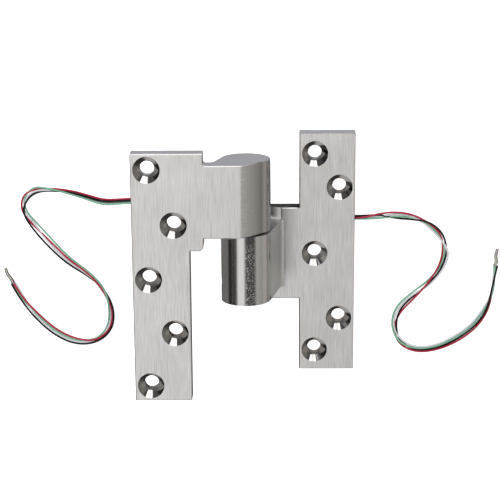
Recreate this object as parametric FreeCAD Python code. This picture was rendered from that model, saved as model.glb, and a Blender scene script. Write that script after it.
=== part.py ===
import FreeCAD, Part
import math
import os

# Offset intermediate pivot hinge for a door, laid open at 180 degrees on its jamb leaf's back.
# X runs from the door leaf to the jamb leaf, Y along the pivot axis, Z out of the leaves' fronts.
# The origin is on the jamb leaf's back face, at mid height of that leaf, below the pivot axis.
# All sizes are in millimetres.

os.makedirs("parts", exist_ok=True)
V = FreeCAD.Vector

# Leaves
LEAF_HEIGHT = 127.0
LEAF_WIDTH = 28.575
LEAF_THICK = 9.525
LEAF_START = 27.4
DOOR_OFFSET = 19.05
CLOSED_GAP = 3.175
EDGE_BREAK = 0.4

# Knuckles
BARREL_R = 12.5
JAMB_KNUCKLE_H = 35.7
DOOR_KNUCKLE_H = 36.5
DOOR_STEP = 6.0
DOOR_FOOT = 16.3
JAMB_FOOT = 17.85
FOOT_ROUND = 3.0
DOOR_CORNER_X = -1.9
JAMB_CORNER_X = -6.0
PLATE_CLEAR = 8.1
TAB_DROP = 6.35
TAB_ROUND = 2.5
STEP_ROUND = 1.5
BRIDGE_HEIGHT = 48.8
RELIEF_R = 29.0
RELIEF_ROUND = 2.5

# Screw holes
SCREW_R = 3.6
HEAD_R = 6.7
HEAD_ANGLE = 60.0
HOLE_EDGE = 7.9375
JAMB_OUTER_ROW_DROP = 10.8
JAMB_INNER_ROW_DROP = 28.3

# Pivot
PIN_R = 6.35
PIN_TOP_ABOVE_WASHER = 15.2
PIN_DEPTH = 31.85
PIN_POINT = 0.8
BUSHING_WALL = 1.65
RUNNING_CLEARANCE = 0.05
WASHER_R = 10.6
WASHER_THICK = 1.0
BORE_ROOM = 12.0
SET_SCREW_R = 2.5
SET_SCREW_LENGTH = 5.5
SET_SCREW_ABOVE_PIN_END = 6.0
SET_SCREW_KEY = 1.25
SET_SCREW_KEY_DEPTH = 2.4

# Wire passages
LEAD_R = 1.3
WIRE_BORE_R = 2.6
DOOR_BORE_R = 2.2
CHANNEL_WIDTH = 5.0
CHANNEL_DEPTH = 5.0
CHANNEL_BEND_R = 4.3
GROMMET_LENGTH = 6.0
DOOR_CHANNEL_ABOVE_HOLE = 11.36875
DOOR_BORE_ABOVE_PIN = 5.95
DOOR_BORE_RISE = 4.75
DOOR_CHANNEL_END = 15.5
JAMB_CHANNEL_DROP = 6.9
JAMB_BORE_DROP = 5.85
JAMB_JOG_X = 16.0
WIRE_GAP = 0.2

# Channel covers
COVER_THICK = 1.2
COVER_MARGIN = 3.4
COVER_CLEARANCE = 0.05
COVER_SCREW_R = 1.0
COVER_HEAD_R = 1.6
COVER_SCREW_LENGTH = 4.0
COVER_SCREW_INSET = 3.0

# Bare ends of the leads
TIP_R = 0.8
TIP_LENGTH = 9.0

# Routes of the two leads, from where each leaves its leaf, chosen by hand
DOOR_ROUTE = [
    V(-60.5, 37.0, 43.775),
    V(-70.0, 36.9, 41.0),
    V(-79.0, 36.7, 34.0),
    V(-87.5, 36.3, 25.0),
    V(-95.5, 35.6, 15.5),
    V(-103.3, 34.7, 7.6),
    V(-110.4, 32.9, 3.2),
    V(-116.0, 28.3, 1.6),
    V(-117.0, 21.0, 1.35),
    V(-111.8, 13.8, 1.35),
    V(-103.5, 3.5, 1.35),
    V(-94.4, -6.2, 1.35),
    V(-83.8, -13.2, 1.35),
    V(-75.9, -22.1, 1.35),
    V(-71.9, -32.7, 1.35),
    V(-73.1, -43.3, 1.35),
    V(-80.2, -50.6, 1.35),
    V(-91.6, -51.4, 1.35),
    V(-102.8, -45.9, 1.35),
    V(-112.6, -36.4, 1.35),
    V(-120.4, -25.5, 1.35),
    V(-123.9, -18.3, 1.35),
]
JAMB_ROUTE = [
    V(60.5, 17.5, 2.5),
    V(69.5, 18.5, 2.1),
    V(78.3, 18.7, 1.6),
    V(86.8, 17.2, 1.35),
    V(94.7, 13.8, 1.35),
    V(101.6, 7.6, 1.35),
    V(104.8, -1.5, 1.35),
    V(102.3, -10.6, 1.35),
    V(95.5, -19.3, 1.35),
    V(87.2, -26.0, 1.35),
    V(80.2, -33.0, 1.35),
    V(77.5, -41.9, 1.35),
    V(80.6, -51.2, 1.35),
    V(89.5, -56.2, 1.35),
    V(101.2, -54.9, 1.35),
    V(112.2, -49.4, 1.35),
    V(121.0, -42.3, 1.35),
    V(126.8, -33.1, 1.35),
    V(130.0, -22.6, 1.35),
    V(130.7, -9.2, 1.35),
]

# Worked out from the sizes above
JAMB_OFFSET = DOOR_OFFSET + CLOSED_GAP
AXIS_Z = JAMB_OFFSET + LEAF_THICK
AXIS = V(0, 0, AXIS_Z)
ALONG = V(0, 1, 0)
LEAF_END = LEAF_START + LEAF_WIDTH
DOOR_PLATE_EDGE = BARREL_R + PLATE_CLEAR
JAMB_FRONT_Z = LEAF_THICK
DOOR_FRONT_Z = AXIS_Z + DOOR_OFFSET
DOOR_BACK_Z = DOOR_FRONT_Z - LEAF_THICK
JAMB_TOP_Y = JAMB_KNUCKLE_H / 2
JAMB_LOW_Y = -JAMB_KNUCKLE_H / 2
DOOR_LOW_Y = JAMB_TOP_Y + WASHER_THICK
DOOR_TOP_Y = DOOR_LOW_Y + DOOR_KNUCKLE_H
DOOR_END_Y = DOOR_TOP_Y + DOOR_STEP
DOOR_MID_Y = DOOR_END_Y - LEAF_HEIGHT / 2
TAB_LOW_Y = DOOR_LOW_Y - TAB_DROP
BUSHING_R = PIN_R + RUNNING_CLEARANCE + BUSHING_WALL
PIN_TOP_Y = DOOR_LOW_Y + PIN_TOP_ABOVE_WASHER
PIN_LOW_Y = JAMB_TOP_Y - PIN_DEPTH
SET_SCREW_Y = PIN_LOW_Y + SET_SCREW_ABOVE_PIN_END
DOOR_HOLE_REACH = LEAF_HEIGHT / 2 - HOLE_EDGE
DOOR_CHANNEL_Y = DOOR_MID_Y + DOOR_HOLE_REACH / 2 + DOOR_CHANNEL_ABOVE_HOLE
DOOR_BORE_Y = PIN_TOP_Y + DOOR_BORE_ABOVE_PIN
JAMB_CHANNEL_Y = BRIDGE_HEIGHT / 2 - JAMB_CHANNEL_DROP
JAMB_BORE_Y = JAMB_TOP_Y - JAMB_BORE_DROP
DOOR_CHANNEL_Z = DOOR_BACK_Z + CHANNEL_DEPTH / 2
JAMB_CHANNEL_Z = CHANNEL_DEPTH / 2
HALF_CHANNEL = CHANNEL_WIDTH / 2
BEYOND = 2.0


def export(node, shape):
    """Write one node's solids to its STEP file."""
    shape.exportStep(f"parts/{node}.step")
    print(node, "solids", len(shape.Solids), "volume", round(shape.Volume, 1), "valid", shape.isValid())


def block(x0, x1, y0, y1, z0, z1):
    """A box between two opposite corners."""
    return Part.makeBox(x1 - x0, y1 - y0, z1 - z0, V(x0, y0, z0))


def rod(radius, y0, y1):
    """A cylinder about the pivot axis, from y0 to y1."""
    return Part.makeCylinder(radius, y1 - y0, V(0, y0, AXIS_Z), ALONG)


def turned(shape):
    """The shape after half a turn about the pivot axis."""
    copy = shape.copy()
    copy.rotate(AXIS, ALONG, 180)
    return copy


def knuckle(outer, inner, foot, corner, reach, y0, y1):
    """A knuckle with the root of its leaf, for a leaf that lies above the axis and towards -X.

    Seen along the axis it is the leaf's two faces, at heights outer and inner above the axis, a straight
    face from the corner down to the barrel, the barrel, and a leaning wall back up to the inner face, which
    it meets at the foot, in a small round.
    """
    def at(x, height):
        return V(x, y0, AXIS_Z + height)

    def on_barrel(angle):
        return at(BARREL_R * math.cos(angle), BARREL_R * math.sin(angle))

    corner_far = math.hypot(corner, outer)
    touch = math.atan2(outer, corner) - math.acos(BARREL_R / corner_far)
    meet = math.atan2(inner, -foot) + math.acos(BARREL_R / math.hypot(foot, inner))
    bottom = on_barrel((touch + meet) / 2 - math.pi)
    root = at(-foot, inner)
    along = V(-1, 0, 0)
    down = (on_barrel(meet) - root).normalize()
    half = down.getAngle(along) / 2
    bisector = (along + down).normalize()
    wall_top = root + down * (FOOT_ROUND / math.tan(half))
    bend = root + bisector * (FOOT_ROUND / math.sin(half) - FOOT_ROUND)
    face_end = root + along * (FOOT_ROUND / math.tan(half))
    corners = [at(-reach, inner), at(-reach, outer), at(corner, outer), on_barrel(touch)]
    edges = [Part.makeLine(a, b) for a, b in zip(corners, corners[1:])]
    edges.append(Part.Arc(on_barrel(touch), bottom, on_barrel(meet)).toShape())
    edges.append(Part.makeLine(on_barrel(meet), wall_top))
    edges.append(Part.Arc(wall_top, bend, face_end).toShape())
    edges.append(Part.makeLine(face_end, at(-reach, inner)))
    return Part.Face(Part.Wire(edges)).extrude(V(0, y1 - y0, 0))


def edge_at(shape, x, y):
    """The edges along Z that stand at x, y."""
    found = []
    for edge in shape.Edges:
        box = edge.BoundBox
        upright = box.XLength < 0.01 and box.YLength < 0.01
        if upright and abs(box.XMin - x) < 0.01 and abs(box.YMin - y) < 0.01:
            found.append(edge)
    return found


def stands_out(shape, edge):
    """Whether the edge is a sharp outside edge, not a seam or an inner corner."""
    faces = shape.ancestorsOfType(edge, Part.Face)
    middle = edge.valueAt((edge.FirstParameter + edge.LastParameter) / 2)
    first, second = [face.normalAt(*face.Surface.parameter(middle)) for face in faces]
    probe = middle + (first - second) * (EDGE_BREAK / 4)
    return first.dot(second) < 0.97 and not shape.isInside(probe, 0.001, False)


def broken(shape, z_faces, y_faces):
    """The shape with the outside edges of the given faces broken by a small chamfer."""
    chosen = []
    for edge in shape.Edges:
        box = edge.BoundBox
        flat_z = box.ZLength < 0.01 and any(abs(box.ZMin - z) < 0.01 for z in z_faces)
        flat_y = box.YLength < 0.01 and any(abs(box.YMin - y) < 0.01 for y in y_faces)
        if (flat_z or flat_y) and stands_out(shape, edge):
            chosen.append(edge)
    return shape.makeChamfer(EDGE_BREAK, chosen)


def screw_hole(x, y, front, back):
    """A countersunk hole, entered from the face at height front."""
    depth = (HEAD_R - SCREW_R) / math.tan(math.radians(HEAD_ANGLE / 2))
    sink = Part.makeCone(SCREW_R, HEAD_R, depth, V(x, y, front - depth), V(0, 0, 1))
    mouth = Part.makeCylinder(HEAD_R, BEYOND, V(x, y, front), V(0, 0, 1))
    bore = Part.makeCylinder(SCREW_R, front - back + BEYOND, V(x, y, back - BEYOND / 2), V(0, 0, 1))
    return sink.fuse([mouth, bore])


def rounded_path(points, limit=None):
    """Straight runs through the points, joined by tangent arcs, with the arcs' smallest radius."""
    edges = []
    start = points[0]
    radii = []
    for before, here, after in zip(points, points[1:], points[2:]):
        into = (here - before).normalize()
        out = (after - here).normalize()
        turn = into.getAngle(out)
        run = min((here - before).Length, (after - here).Length)
        radius = 0.45 * run / math.tan(turn / 2)
        if limit:
            radius = min(radius, limit)
        radii.append(radius)
        cut = radius * math.tan(turn / 2)
        first = here - into * cut
        last = here + out * cut
        inward = (out - into).normalize()
        middle = here + inward * (radius / math.cos(turn / 2) - radius)
        edges.append(Part.makeLine(start, first))
        edges.append(Part.Arc(first, middle, last).toShape())
        start = last
    edges.append(Part.makeLine(start, points[-1]))
    return Part.Wire(edges), radii


def tube(name, points, radius, limit=None):
    """A round solid along the points."""
    path, radii = rounded_path(points, limit)
    aim = (points[1] - points[0]).normalize()
    ring = Part.Wire(Part.makeCircle(radius, points[0], aim))
    solid = path.makePipeShell([ring], True, False)
    share = solid.Volume / (math.pi * radius ** 2 * path.Length)
    print(name, "length", round(path.Length, 1), "volume share", round(share, 4))
    print(name, "radii", [round(r, 1) for r in radii])
    return solid


def door_holes():
    """Where the door leaf's five screws go."""
    outer_x = -(LEAF_END - HOLE_EDGE)
    inner_x = -(LEAF_START + HOLE_EDGE)
    outer = [(outer_x, DOOR_MID_Y + step * DOOR_HOLE_REACH) for step in (-1, 0, 1)]
    return outer + [(inner_x, DOOR_MID_Y + step * DOOR_HOLE_REACH / 2) for step in (-1, 1)]


def jamb_holes():
    """Where the jamb leaf's five screws go."""
    far = LEAF_HEIGHT / 2 - JAMB_OUTER_ROW_DROP
    near = LEAF_HEIGHT / 2 - JAMB_INNER_ROW_DROP
    inner = [(LEAF_START + HOLE_EDGE, step * far) for step in (-1, 0, 1)]
    return inner + [(LEAF_END - HOLE_EDGE, step * near) for step in (-1, 1)]


def cover_box(x0, x1, y0, y1, back, grow):
    """The room of a channel cover that is flush with the back face."""
    return block(x0 - grow, x1 + grow, y0 - grow, y1 + grow, back, back + COVER_THICK)


def cover_screw(x, y, back, grow):
    """A small countersunk screw, or its hole, entered from the back face."""
    shank = Part.makeCylinder(COVER_SCREW_R + grow, COVER_SCREW_LENGTH + grow, V(x, y, back), V(0, 0, 1))
    head_depth = COVER_HEAD_R - COVER_SCREW_R
    head = Part.makeCone(COVER_HEAD_R + grow, COVER_SCREW_R + grow, head_depth, V(x, y, back), V(0, 0, 1))
    return shank.fuse(head)


DOOR_COVER = (GROMMET_LENGTH - LEAF_END, -LEAF_START, DOOR_CHANNEL_Y - HALF_CHANNEL - COVER_MARGIN,
              DOOR_CHANNEL_Y + HALF_CHANNEL + COVER_MARGIN)
JAMB_COVER = (JAMB_CORNER_X + COVER_THICK, LEAF_END - GROMMET_LENGTH,
              JAMB_BORE_Y - HALF_CHANNEL - COVER_MARGIN / 2, JAMB_CHANNEL_Y + HALF_CHANNEL + COVER_MARGIN)


def screw_spots(cover, channel_y):
    """Two cover screws, on opposite sides of the channel at the cover's two ends."""
    x0, x1, y0, y1 = cover
    aside = HALF_CHANNEL + COVER_MARGIN / 2
    return [(x0 + COVER_SCREW_INSET, channel_y + aside), (x1 - COVER_SCREW_INSET, channel_y + aside),
            (x1 - COVER_SCREW_INSET, channel_y - aside)]


def make_door_leaf():
    """Door leaf: a tall plate, its wider upper part, and the knuckle whose front is flush with it."""
    strip = block(-LEAF_END, -LEAF_START, DOOR_END_Y - LEAF_HEIGHT, DOOR_END_Y, DOOR_BACK_Z, DOOR_FRONT_Z)
    wide = block(-LEAF_END, -DOOR_PLATE_EDGE, TAB_LOW_Y, DOOR_END_Y, DOOR_BACK_Z, DOOR_FRONT_Z)
    plates = strip.fuse(wide).removeSplitter()
    plates = plates.makeFillet(TAB_ROUND, edge_at(plates, -DOOR_PLATE_EDGE, TAB_LOW_Y))
    barrel = knuckle(DOOR_OFFSET, DOOR_OFFSET - LEAF_THICK, DOOR_FOOT, DOOR_CORNER_X,
                     DOOR_PLATE_EDGE + LEAF_THICK, DOOR_LOW_Y, DOOR_TOP_Y)
    leaf = plates.fuse(barrel).removeSplitter()
    leaf = leaf.makeFillet(STEP_ROUND, edge_at(leaf, -DOOR_PLATE_EDGE, DOOR_TOP_Y))
    leaf = broken(leaf, [DOOR_FRONT_Z, DOOR_BACK_Z], [DOOR_LOW_Y, DOOR_TOP_Y])
    cuts = [screw_hole(x, y, DOOR_FRONT_Z, DOOR_BACK_Z) for x, y in door_holes()]
    cuts.append(rod(BUSHING_R, DOOR_LOW_Y - BEYOND, PIN_TOP_Y + BORE_ROOM))
    floor = DOOR_BACK_Z + CHANNEL_DEPTH
    cuts.append(block(-LEAF_END - BEYOND, -DOOR_CHANNEL_END, DOOR_CHANNEL_Y - HALF_CHANNEL,
                      DOOR_CHANNEL_Y + HALF_CHANNEL, DOOR_BACK_Z - BEYOND, floor))
    cuts.append(block(-DOOR_PLATE_EDGE - CHANNEL_WIDTH, -DOOR_CHANNEL_END, DOOR_CHANNEL_Y - HALF_CHANNEL,
                      DOOR_BORE_Y + HALF_CHANNEL, DOOR_BACK_Z - CHANNEL_DEPTH, floor))
    cuts.append(Part.makeCylinder(DOOR_BORE_R, DOOR_PLATE_EDGE, V(-DOOR_PLATE_EDGE, DOOR_BORE_Y,
                                  AXIS_Z + DOOR_BORE_RISE), V(1, 0, 0)))
    cuts.append(cover_box(*DOOR_COVER, DOOR_BACK_Z, COVER_CLEARANCE))
    for x, y in screw_spots(DOOR_COVER, DOOR_CHANNEL_Y):
        cuts.append(cover_screw(x, y, DOOR_BACK_Z, 0))
    return leaf.cut(cuts)


def make_jamb_leaf():
    """Jamb leaf: a tall plate, the bridge to the pivot, and the lower knuckle in front of the bridge."""
    plate = block(LEAF_START, LEAF_END, -LEAF_HEIGHT / 2, LEAF_HEIGHT / 2, 0, LEAF_THICK)
    bridge = block(JAMB_CORNER_X, LEAF_END, -BRIDGE_HEIGHT / 2, BRIDGE_HEIGHT / 2, 0, LEAF_THICK)
    barrel = knuckle(JAMB_OFFSET + LEAF_THICK, JAMB_OFFSET, JAMB_FOOT, -JAMB_CORNER_X, LEAF_START,
                     JAMB_LOW_Y, JAMB_TOP_Y)
    plates = broken(plate.fuse(bridge).removeSplitter(), [0, JAMB_FRONT_Z], [])
    leaf = plates.fuse(turned(barrel)).removeSplitter()
    low, high = JAMB_TOP_Y, BRIDGE_HEIGHT / 2 + BEYOND
    corner = RELIEF_ROUND * (1 - math.sqrt(0.5))
    side = [V(0, low, AXIS_Z), V(RELIEF_R - RELIEF_ROUND, low, AXIS_Z)]
    after = [V(RELIEF_R, low + RELIEF_ROUND, AXIS_Z), V(RELIEF_R, high, AXIS_Z), V(0, high, AXIS_Z), side[0]]
    edges = [Part.makeLine(*side)]
    edges.append(Part.Arc(side[1], V(RELIEF_R - corner, low + corner, AXIS_Z), after[0]).toShape())
    edges += [Part.makeLine(a, b) for a, b in zip(after, after[1:])]
    relief = Part.Face(Part.Wire(edges)).revolve(AXIS, ALONG, 360)
    cuts = [screw_hole(x, y, JAMB_FRONT_Z, 0) for x, y in jamb_holes()]
    cuts.append(relief)
    cuts.append(rod(PIN_R, PIN_LOW_Y, JAMB_TOP_Y + BEYOND))
    cuts.append(block(JAMB_JOG_X - HALF_CHANNEL, LEAF_END + BEYOND, JAMB_CHANNEL_Y - HALF_CHANNEL,
                      JAMB_CHANNEL_Y + HALF_CHANNEL, -BEYOND, CHANNEL_DEPTH))
    cuts.append(block(JAMB_JOG_X - HALF_CHANNEL, JAMB_JOG_X + HALF_CHANNEL, JAMB_BORE_Y - HALF_CHANNEL,
                      JAMB_CHANNEL_Y + HALF_CHANNEL, -BEYOND, CHANNEL_DEPTH))
    cuts.append(block(-HALF_CHANNEL, JAMB_JOG_X + HALF_CHANNEL, JAMB_BORE_Y - HALF_CHANNEL,
                      JAMB_BORE_Y + HALF_CHANNEL, -BEYOND, CHANNEL_DEPTH))
    cuts.append(Part.makeCylinder(WIRE_BORE_R, AXIS_Z, V(0, JAMB_BORE_Y, 0), V(0, 0, 1)))
    cuts.append(Part.makeCylinder(SET_SCREW_R, BARREL_R, V(-BARREL_R, SET_SCREW_Y, AXIS_Z), V(1, 0, 0)))
    cuts.append(cover_box(*JAMB_COVER, 0, COVER_CLEARANCE))
    for x, y in screw_spots(JAMB_COVER, JAMB_CHANNEL_Y):
        cuts.append(cover_screw(x, y, 0, 0))
    return leaf.cut(cuts)


def make_pin():
    """Hollow pin: wires come in through its side and leave at its top."""
    pin = rod(PIN_R, PIN_LOW_Y, PIN_TOP_Y)
    pin = pin.makeChamfer(PIN_POINT, [e for e in pin.Edges if e.BoundBox.YLength < 0.01])
    floor = JAMB_BORE_Y - WIRE_BORE_R
    bore = rod(WIRE_BORE_R, floor, PIN_TOP_Y + BEYOND)
    side = Part.makeCylinder(WIRE_BORE_R, AXIS_Z, V(0, JAMB_BORE_Y, 0), V(0, 0, 1))
    return pin.cut([bore, side])


def make_bushing():
    """Sleeve bearing in the door knuckle."""
    return rod(BUSHING_R, DOOR_LOW_Y, PIN_TOP_Y).cut(rod(PIN_R + RUNNING_CLEARANCE, DOOR_LOW_Y, PIN_TOP_Y))


def make_washer():
    """Thrust washer between the knuckles."""
    return rod(WASHER_R, JAMB_TOP_Y, DOOR_LOW_Y).cut(rod(PIN_R + RUNNING_CLEARANCE, JAMB_TOP_Y, DOOR_LOW_Y))


def make_set_screw():
    """Cup point screw with a hexagon socket, against the pin."""
    outer_x = -PIN_R - SET_SCREW_LENGTH
    at = V(outer_x, SET_SCREW_Y, AXIS_Z)
    body = Part.makeCylinder(SET_SCREW_R, SET_SCREW_LENGTH + PIN_R, at, V(1, 0, 0))
    angles = [math.radians(60 * k) for k in range(7)]
    ring = [at + V(0, SET_SCREW_KEY * math.cos(a), SET_SCREW_KEY * math.sin(a)) for a in angles]
    socket = Part.Face(Part.makePolygon(ring)).extrude(V(SET_SCREW_KEY_DEPTH, 0, 0))
    return body.cut([socket, rod(PIN_R, PIN_LOW_Y, JAMB_TOP_Y)])


def make_grommet(side, channel_y, channel_z):
    """A bush that fills its channel's mouth and holds the lead."""
    outer, inner = sorted((side * LEAF_END, side * (LEAF_END - GROMMET_LENGTH)))
    filling = block(outer, inner, channel_y - HALF_CHANNEL, channel_y + HALF_CHANNEL,
                    channel_z - HALF_CHANNEL, channel_z + CHANNEL_DEPTH / 2)
    lead = Part.makeCylinder(LEAD_R, 2 * GROMMET_LENGTH, V(outer - BEYOND, channel_y, channel_z), V(1, 0, 0))
    return filling.cut(lead)


def make_cover(cover, back, channel_y):
    """A plate over the channel, with its screw holes."""
    plate = cover_box(*cover, back, 0)
    return plate.cut([cover_screw(x, y, back, 0) for x, y in screw_spots(cover, channel_y)])


def make_cover_screws(cover, back, channel_y):
    """The cover's screws, as a group."""
    return Part.makeCompound([cover_screw(x, y, back, 0) for x, y in screw_spots(cover, channel_y)])


def door_inner_route():
    """From just above the pin, out of the bore and along the door leaf's channel."""
    rise = AXIS_Z + DOOR_BORE_RISE
    return [V(0, PIN_TOP_Y + WIRE_GAP, AXIS_Z), V(0, PIN_TOP_Y + 2 * LEAD_R, AXIS_Z), V(0, DOOR_BORE_Y, rise),
            V(-DOOR_CHANNEL_END - LEAD_R, DOOR_BORE_Y, rise),
            V(-DOOR_PLATE_EDGE - LEAD_R, DOOR_CHANNEL_Y, DOOR_CHANNEL_Z),
            V(-LEAF_END + GROMMET_LENGTH, DOOR_CHANNEL_Y, DOOR_CHANNEL_Z)]


def jamb_inner_route():
    """From the jamb leaf's grommet along its channel, up into the pin and out at its top."""
    return [V(LEAF_END - GROMMET_LENGTH, JAMB_CHANNEL_Y, JAMB_CHANNEL_Z),
            V(JAMB_JOG_X, JAMB_CHANNEL_Y, JAMB_CHANNEL_Z),
            V(JAMB_JOG_X, JAMB_BORE_Y, JAMB_CHANNEL_Z), V(0, JAMB_BORE_Y, JAMB_CHANNEL_Z),
            V(0, JAMB_BORE_Y, AXIS_Z), V(0, PIN_TOP_Y, AXIS_Z)]


def make_tip(route):
    """The bare, twisted wire ends beyond a lead's insulation."""
    return Part.makeCylinder(TIP_R, TIP_LENGTH, route[-1], route[-1] - route[-2])


export("door_leaf", make_door_leaf())
export("jamb_leaf", make_jamb_leaf())
export("pivot_pin", make_pin())
export("pin_bushing", make_bushing())
export("thrust_washer", make_washer())
export("pin_set_screw", make_set_screw())
export("door_grommet", make_grommet(-1, DOOR_CHANNEL_Y, DOOR_CHANNEL_Z))
export("jamb_grommet", make_grommet(1, JAMB_CHANNEL_Y, JAMB_CHANNEL_Z))
export("door_channel_cover", make_cover(DOOR_COVER, DOOR_BACK_Z, DOOR_CHANNEL_Y))
export("jamb_channel_cover", make_cover(JAMB_COVER, 0, JAMB_CHANNEL_Y))
export("door_cover_screws", make_cover_screws(DOOR_COVER, DOOR_BACK_Z, DOOR_CHANNEL_Y))
export("jamb_cover_screws", make_cover_screws(JAMB_COVER, 0, JAMB_CHANNEL_Y))
export("door_inner_wires", tube("door_inner_wires", door_inner_route(), LEAD_R, CHANNEL_BEND_R))
export("jamb_inner_wires", tube("jamb_inner_wires", jamb_inner_route(), LEAD_R, CHANNEL_BEND_R))
door_start = V(-LEAF_END + GROMMET_LENGTH, DOOR_CHANNEL_Y, DOOR_CHANNEL_Z)
jamb_start = V(LEAF_END - GROMMET_LENGTH, JAMB_CHANNEL_Y, JAMB_CHANNEL_Z)
export("door_lead", tube("door_lead", [door_start] + DOOR_ROUTE, LEAD_R))
export("jamb_lead", tube("jamb_lead", [jamb_start] + JAMB_ROUTE, LEAD_R))
export("door_lead_tips", make_tip(DOOR_ROUTE))
export("jamb_lead_tips", make_tip(JAMB_ROUTE))
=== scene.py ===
import math

import bpy
import numpy as np
from mathutils import Matrix, Vector


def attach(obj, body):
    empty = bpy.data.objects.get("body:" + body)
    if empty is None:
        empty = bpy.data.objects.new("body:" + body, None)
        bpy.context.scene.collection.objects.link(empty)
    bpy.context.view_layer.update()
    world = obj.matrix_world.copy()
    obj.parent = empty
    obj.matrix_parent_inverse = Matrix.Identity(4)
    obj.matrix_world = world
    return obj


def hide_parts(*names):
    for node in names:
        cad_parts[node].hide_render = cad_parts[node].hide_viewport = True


# Offset pivot hinge of brushed stainless steel with a four-wire lead out of each leaf.
# The frame is the part's own: X from door leaf to jamb leaf, Y along the pivot, Z out of the leaves.

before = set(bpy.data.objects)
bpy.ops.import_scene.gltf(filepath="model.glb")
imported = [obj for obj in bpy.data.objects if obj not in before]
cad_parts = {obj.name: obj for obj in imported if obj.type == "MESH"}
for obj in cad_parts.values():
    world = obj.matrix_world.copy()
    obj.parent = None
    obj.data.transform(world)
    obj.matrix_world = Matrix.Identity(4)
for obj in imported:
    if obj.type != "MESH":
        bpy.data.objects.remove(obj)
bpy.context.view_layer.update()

MM = 0.001

# Where the leaves' finish, painted shade and painted highlight change. A pair of lengths says where a change starts
# and where it is complete, and a middle value with a half says how wide a strip is.
AXIS_Z = 31.75 * MM
BARREL_R = 12.5 * MM
BARREL_FADE = (0.3 * MM, 0.1 * MM)
HOLES_X = 26 * MM
INNER_X = 24.5 * MM
INNER_HALF = 4.5 * MM
DOOR_KNUCKLE_Y = 18.3 * MM
# Where the painted shade on the upper knuckle grows from left to right, and where it eases past the turn to its
# least share
SHADE_FROM_X = (-1.0 * MM, 8.0 * MM)
SHADE_UNTIL_X = (9.4 * MM, 8.0 * MM)
SHADE_LEAST = 0.5
PITTED_X = 2.1 * MM
PITTED_HALF = 2.5 * MM
PITTED_TOP_Y = 14.5 * MM
RELIEF_X = 16.5 * MM
RELIEF_HALF = 4.5 * MM
RELIEF_Y = 17.9 * MM
RELIEF_END_X = (13.6 * MM, 16.6 * MM)
RELIEF_RIM_X = (18.1 * MM, 17.7 * MM)
JAMB_TOP_Z = 11 * MM
CORNER_X = (27.0 * MM, 18.0 * MM)
CORNER_Y = (-15 * MM, -7 * MM)

# Faces told apart by one component of their normal: its middle value and how far it may be off, or a limit
WALL_NX = (0.6, 0.3)
SINK_NZ = (0.5, 0.06)
SINK_TOP_NY = (0.1, -0.5)
RELIEF_NX = (-0.55, 0.16)
FILLET_NY = (0.7, 0.17)
BROKEN_NY = (0.7, 0.1)
FACE_ON = 0.95
END_NY = 0.9

# How far the countersinks' shading leans out of the leaf: in the highest and the lowest hole, and on the
# cones' upper walls
SINKS_Y = 55 * MM
SINK_LEAN = 0.53
SINK_LOW_LEAN = 0.395
SINK_TOP_LEAN = 1.2

# The steel's patterns in periods per metre, and where the noise counts as dark, as light or as a pit
GRAIN_SCALE = (2400, 70, 2400)
FINE_SCALE = 1500.0
CLOUD_SCALE = 45.0
CLOUD_SHARE = 0.3
TONE_RANGE = (0.4, 0.9)
PIT_SCALE = 1800.0
PIT_RANGE = (0.57, 0.66)
PIT_SCATTER = 0.8
BARREL_EVENNESS = 0.75
BRUSHED_ROUGH = (0.36, 0.46)
TURNED_ROUGH = 0.17
PITTED_ROUGH = 0.3
SINK_ROUGH = 0.08

# Of the plain metals: how grit changes the roughness, and its depth as a share of its size
GRIT_ROUGH = (-0.05, 0.08)
GRIT_DEPTH = 0.1

# Camera, fitted to the photograph's hole centres and outlines
CAMERA_AT = (0.01213, 0.21290, 0.78239)
CAMERA_RIGHT = (0.99991, -0.00589, -0.01183)
CAMERA_UP = (0.00257, 0.96468, -0.26342)
CAMERA_BACK = (0.01296, 0.26337, 0.96461)
LENS_MM = 110.92

# Routes of the two leads, from inside each leaf's grommet
DOOR_ROUTE = [
    (-0.049975, 0.0370, 0.043775),
    (-0.0605, 0.0363, 0.0437),
    (-0.0700, 0.0350, 0.0410),
    (-0.0790, 0.0361, 0.0340),
    (-0.0875, 0.0363, 0.0250),
    (-0.0955, 0.0355, 0.0155),
    (-0.1033, 0.0342, 0.0076),
    (-0.1104, 0.0328, 0.0032),
    (-0.1158, 0.0284, 0.0016),
    (-0.1170, 0.0210, 0.00135),
    (-0.1118, 0.0138, 0.00135),
    (-0.1035, 0.0035, 0.00135),
    (-0.0944, -0.0062, 0.00135),
    (-0.0838, -0.0132, 0.00135),
    (-0.0759, -0.0221, 0.00135),
    (-0.0719, -0.0327, 0.00135),
    (-0.0731, -0.0433, 0.00135),
    (-0.0802, -0.0506, 0.00135),
    (-0.0916, -0.0514, 0.00135),
    (-0.1028, -0.0459, 0.00135),
    (-0.1126, -0.0364, 0.00135),
    (-0.1204, -0.0255, 0.00135),
    (-0.1239, -0.0183, 0.00135),
]
JAMB_ROUTE = [
    (0.049975, 0.0175, 0.0025),
    (0.0605, 0.0175, 0.0025),
    (0.0695, 0.0182, 0.0021),
    (0.0783, 0.0184, 0.0016),
    (0.0868, 0.0172, 0.00135),
    (0.0947, 0.0138, 0.00135),
    (0.1016, 0.0076, 0.00135),
    (0.1048, -0.0015, 0.00135),
    (0.1023, -0.0106, 0.00135),
    (0.0955, -0.0193, 0.00135),
    (0.0872, -0.0260, 0.00135),
    (0.0802, -0.0330, 0.00135),
    (0.0775, -0.0419, 0.00135),
    (0.0806, -0.0512, 0.00135),
    (0.0895, -0.0562, 0.00135),
    (0.1012, -0.0549, 0.00135),
    (0.1122, -0.0494, 0.00135),
    (0.1210, -0.0423, 0.00135),
    (0.1268, -0.0331, 0.00135),
    (0.1300, -0.0226, 0.00135),
    (0.1307, -0.0092, 0.00135),
]

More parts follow.
